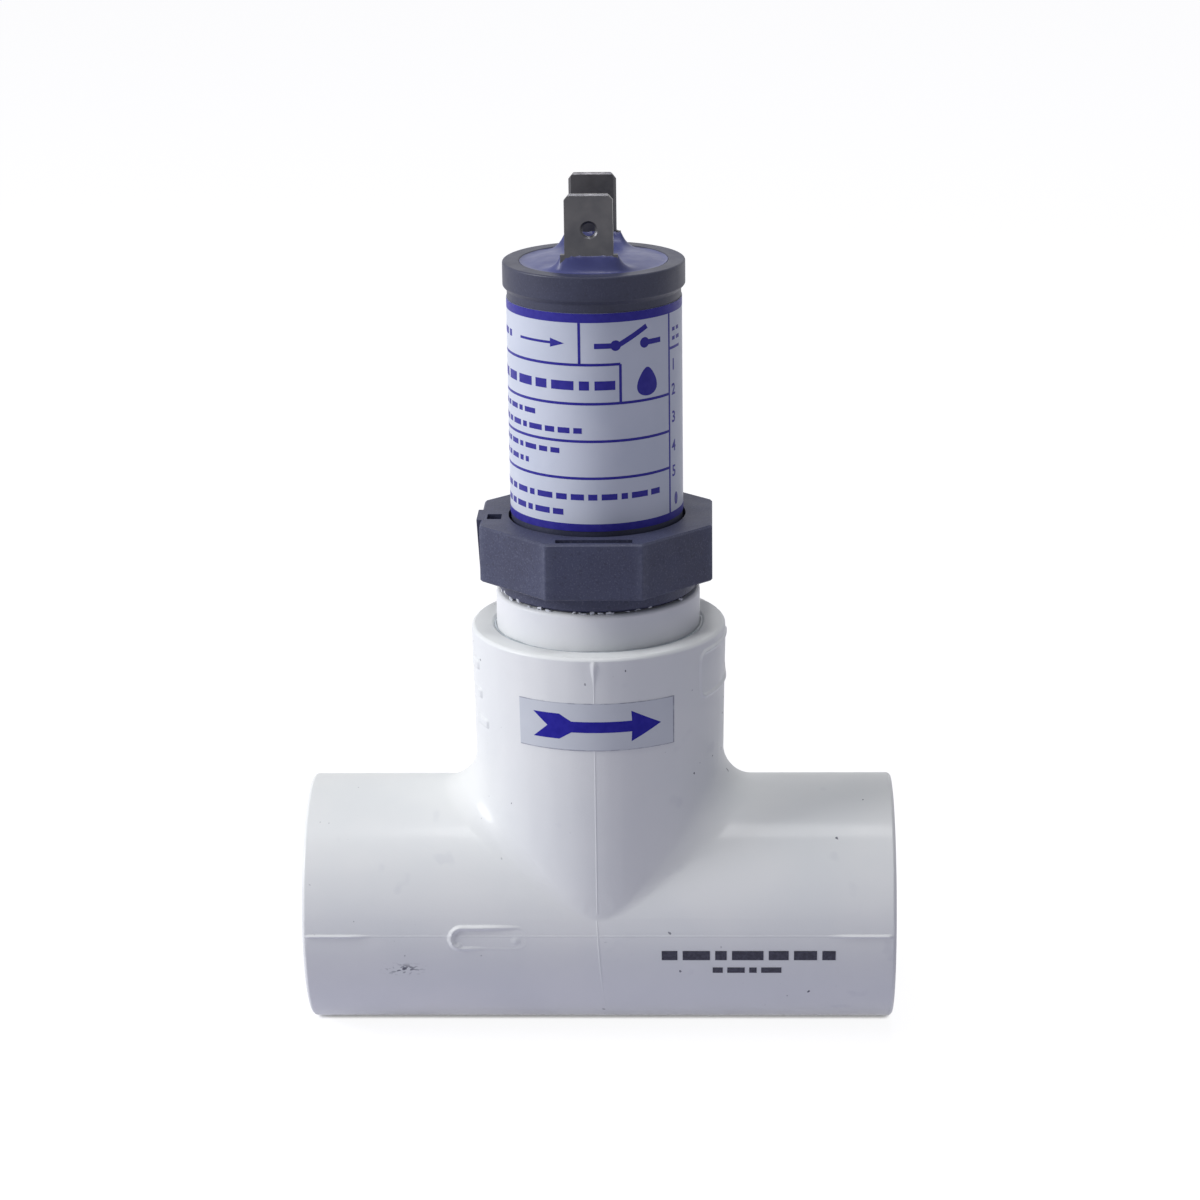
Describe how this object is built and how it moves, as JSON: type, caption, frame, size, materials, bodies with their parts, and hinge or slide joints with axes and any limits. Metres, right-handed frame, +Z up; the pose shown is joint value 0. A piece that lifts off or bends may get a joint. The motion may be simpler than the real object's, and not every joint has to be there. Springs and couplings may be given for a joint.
{
  "type": "paddle flow switch",
  "caption": "Paddle flow switch in a slip tee: white plastic tee, threaded grey switch body with labelled barrel, spade tabs on top, hinged paddle with magnet in the waterway.",
  "frame": {"origin": "under the run on the branch's axis, the middle of the box's bottom face", "axes": "+X is the direction of flow, along the run; +Z goes up the branch to the tabs; +Y completes the frame"},
  "size_m": [0.0794, 0.0342, 0.1157],
  "materials": {
    "pvc_white": "satin moulded PVC",
    "solvent_cement": "dried clear cement",
    "ptfe_tape": "soft waxy tape",
    "clear_film": "translucent grey film with a blue arrow",
    "grey_plastic": "slate grey, fine grain",
    "black_rubber": "matte",
    "label_film": "satin film with blue print",
    "blue_resin": "cured resin, soft gloss",
    "tinned_brass": "dull tin plate",
    "carrier_laminate": "phenolic laminate",
    "reed_glass": "green tinted glass",
    "nickel_iron": "plated",
    "wire_red": "insulation",
    "wire_black": "insulation",
    "solder": "bright tin solder",
    "stainless_steel": "drawn",
    "rocker_plastic": "moulded, fine grain",
    "ferrite": "ground"
  },
  "bodies": {
    "housing": {"tee_body": "pvc_white", "reducer_bushing": "pvc_white", "cement_bead": "solvent_cement", "thread_tape": "ptfe_tape", "flow_arrow_sticker": "clear_film", "switch_body": "grey_plastic", "sensor_barrel": "grey_plastic", "barrel_gasket": "black_rubber", "label_sleeve": "label_film", "potting_compound": "blue_resin", "terminal_front": "tinned_brass", "terminal_rear": "tinned_brass", "reed_carrier": "carrier_laminate", "reed_glass": "reed_glass", "reed_blade_upper": "nickel_iron", "reed_blade_lower": "nickel_iron", "lead_wire_front": "wire_red", "lead_wire_rear": "wire_black", "solder_joints": "solder", "pivot_pin": "stainless_steel", "return_spring": "stainless_steel"},
    "rocker": {"paddle": "rocker_plastic", "paddle_magnet": "ferrite", "magnet_cap": "rocker_plastic"}
  },
  "joints": [
    {"name": "paddle_swing", "type": "hinge", "parent": "housing", "child": "rocker", "pos_m": [0, 0, 0.03317], "axis": [0, -1, 0], "range_deg": [0, 25], "stiffness_Nm_per_rad": 0.002, "springref_deg": -11.46, "deforming": ["return_spring"]}
  ]
}
